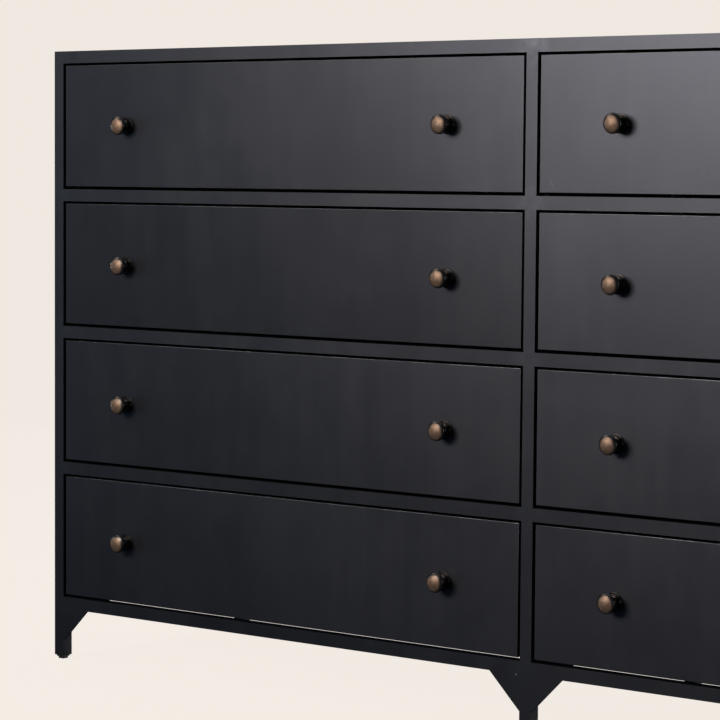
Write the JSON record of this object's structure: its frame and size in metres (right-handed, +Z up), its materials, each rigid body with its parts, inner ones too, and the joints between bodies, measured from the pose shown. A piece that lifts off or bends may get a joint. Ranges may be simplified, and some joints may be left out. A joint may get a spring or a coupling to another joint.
{
  "type": "dresser",
  "caption": "Wide low dresser of blackened steel, two columns of inset drawers in a flush square-tube face frame on braced feet, with round bronze knobs.",
  "frame": {"origin": "on the floor under the middle of the outline, knobs included", "axes": "+X to the right of a person facing the drawers, +Y towards the back, +Z up; drawers open towards -Y"},
  "size_m": [1.829, 0.482, 0.965],
  "materials": {
    "blackened_steel": "satin blackened steel with a faint cloudy patina",
    "knob_bronze": "dark oil-rubbed bronze, worn lighter on the crown",
    "slide_zinc": "zinc-plated cold-rolled steel",
    "glide_plastic": "black moulded plastic"
  },
  "bodies": {
    "root": {"front_frame": "blackened_steel", "rear_frame": "blackened_steel", "top_panel": "blackened_steel", "left_side_panel": "blackened_steel", "right_side_panel": "blackened_steel", "back_panel": "blackened_steel", "centre_stretcher": "blackened_steel", "left_slide_rack": "slide_zinc", "right_slide_rack": "slide_zinc", "centre_slide_rack": "slide_zinc"},
    "drawer_left_1": {"drawer_left_1_front": "blackened_steel", "drawer_left_1_tray": "blackened_steel", "drawer_left_1_knob_left": "knob_bronze", "drawer_left_1_knob_right": "knob_bronze"},
    "slides_left_1": {"drawer_left_1_slide_left": "slide_zinc", "drawer_left_1_slide_right": "slide_zinc"},
    "drawer_left_2": {"drawer_left_2_front": "blackened_steel", "drawer_left_2_tray": "blackened_steel", "drawer_left_2_knob_left": "knob_bronze", "drawer_left_2_knob_right": "knob_bronze"},
    "slides_left_2": {"drawer_left_2_slide_left": "slide_zinc", "drawer_left_2_slide_right": "slide_zinc"},
    "drawer_left_3": {"drawer_left_3_front": "blackened_steel", "drawer_left_3_tray": "blackened_steel", "drawer_left_3_knob_left": "knob_bronze", "drawer_left_3_knob_right": "knob_bronze"},
    "slides_left_3": {"drawer_left_3_slide_left": "slide_zinc", "drawer_left_3_slide_right": "slide_zinc"},
    "drawer_left_4": {"drawer_left_4_front": "blackened_steel", "drawer_left_4_tray": "blackened_steel", "drawer_left_4_knob_left": "knob_bronze", "drawer_left_4_knob_right": "knob_bronze"},
    "slides_left_4": {"drawer_left_4_slide_left": "slide_zinc", "drawer_left_4_slide_right": "slide_zinc"},
    "drawer_right_1": {"drawer_right_1_front": "blackened_steel", "drawer_right_1_tray": "blackened_steel", "drawer_right_1_knob_left": "knob_bronze", "drawer_right_1_knob_right": "knob_bronze"},
    "slides_right_1": {"drawer_right_1_slide_left": "slide_zinc", "drawer_right_1_slide_right": "slide_zinc"},
    "drawer_right_2": {"drawer_right_2_front": "blackened_steel", "drawer_right_2_tray": "blackened_steel", "drawer_right_2_knob_left": "knob_bronze", "drawer_right_2_knob_right": "knob_bronze"},
    "slides_right_2": {"drawer_right_2_slide_left": "slide_zinc", "drawer_right_2_slide_right": "slide_zinc"},
    "drawer_right_3": {"drawer_right_3_front": "blackened_steel", "drawer_right_3_tray": "blackened_steel", "drawer_right_3_knob_left": "knob_bronze", "drawer_right_3_knob_right": "knob_bronze"},
    "slides_right_3": {"drawer_right_3_slide_left": "slide_zinc", "drawer_right_3_slide_right": "slide_zinc"},
    "drawer_right_4": {"drawer_right_4_front": "blackened_steel", "drawer_right_4_tray": "blackened_steel", "drawer_right_4_knob_left": "knob_bronze", "drawer_right_4_knob_right": "knob_bronze"},
    "slides_right_4": {"drawer_right_4_slide_left": "slide_zinc", "drawer_right_4_slide_right": "slide_zinc"}
  },
  "joints": [
    {"name": "drawer_left_1_pull", "type": "slide", "parent": "root", "child": "drawer_left_1", "axis": [0, -1, 0], "range_m": [0, 0.4]},
    {"name": "slides_left_1_travel", "type": "slide", "parent": "root", "child": "slides_left_1", "axis": [0, -1, 0], "range_m": [0, 0.2]},
    {"name": "drawer_left_2_pull", "type": "slide", "parent": "root", "child": "drawer_left_2", "axis": [0, -1, 0], "range_m": [0, 0.4]},
    {"name": "slides_left_2_travel", "type": "slide", "parent": "root", "child": "slides_left_2", "axis": [0, -1, 0], "range_m": [0, 0.2]},
    {"name": "drawer_left_3_pull", "type": "slide", "parent": "root", "child": "drawer_left_3", "axis": [0, -1, 0], "range_m": [0, 0.4]},
    {"name": "slides_left_3_travel", "type": "slide", "parent": "root", "child": "slides_left_3", "axis": [0, -1, 0], "range_m": [0, 0.2]},
    {"name": "drawer_left_4_pull", "type": "slide", "parent": "root", "child": "drawer_left_4", "axis": [0, -1, 0], "range_m": [0, 0.4]},
    {"name": "slides_left_4_travel", "type": "slide", "parent": "root", "child": "slides_left_4", "axis": [0, -1, 0], "range_m": [0, 0.2]},
    {"name": "drawer_right_1_pull", "type": "slide", "parent": "root", "child": "drawer_right_1", "axis": [0, -1, 0], "range_m": [0, 0.4]},
    {"name": "slides_right_1_travel", "type": "slide", "parent": "root", "child": "slides_right_1", "axis": [0, -1, 0], "range_m": [0, 0.2]},
    {"name": "drawer_right_2_pull", "type": "slide", "parent": "root", "child": "drawer_right_2", "axis": [0, -1, 0], "range_m": [0, 0.4]},
    {"name": "slides_right_2_travel", "type": "slide", "parent": "root", "child": "slides_right_2", "axis": [0, -1, 0], "range_m": [0, 0.2]},
    {"name": "drawer_right_3_pull", "type": "slide", "parent": "root", "child": "drawer_right_3", "axis": [0, -1, 0], "range_m": [0, 0.4]},
    {"name": "slides_right_3_travel", "type": "slide", "parent": "root", "child": "slides_right_3", "axis": [0, -1, 0], "range_m": [0, 0.2]},
    {"name": "drawer_right_4_pull", "type": "slide", "parent": "root", "child": "drawer_right_4", "axis": [0, -1, 0], "range_m": [0, 0.4]},
    {"name": "slides_right_4_travel", "type": "slide", "parent": "root", "child": "slides_right_4", "axis": [0, -1, 0], "range_m": [0, 0.2]}
  ],
  "couplings": [
    {"joint": "slides_left_1_travel", "follows": "drawer_left_1_pull", "ratio": 0.5},
    {"joint": "slides_left_2_travel", "follows": "drawer_left_2_pull", "ratio": 0.5},
    {"joint": "slides_left_3_travel", "follows": "drawer_left_3_pull", "ratio": 0.5},
    {"joint": "slides_left_4_travel", "follows": "drawer_left_4_pull", "ratio": 0.5},
    {"joint": "slides_right_1_travel", "follows": "drawer_right_1_pull", "ratio": 0.5},
    {"joint": "slides_right_2_travel", "follows": "drawer_right_2_pull", "ratio": 0.5},
    {"joint": "slides_right_3_travel", "follows": "drawer_right_3_pull", "ratio": 0.5},
    {"joint": "slides_right_4_travel", "follows": "drawer_right_4_pull", "ratio": 0.5}
  ]
}
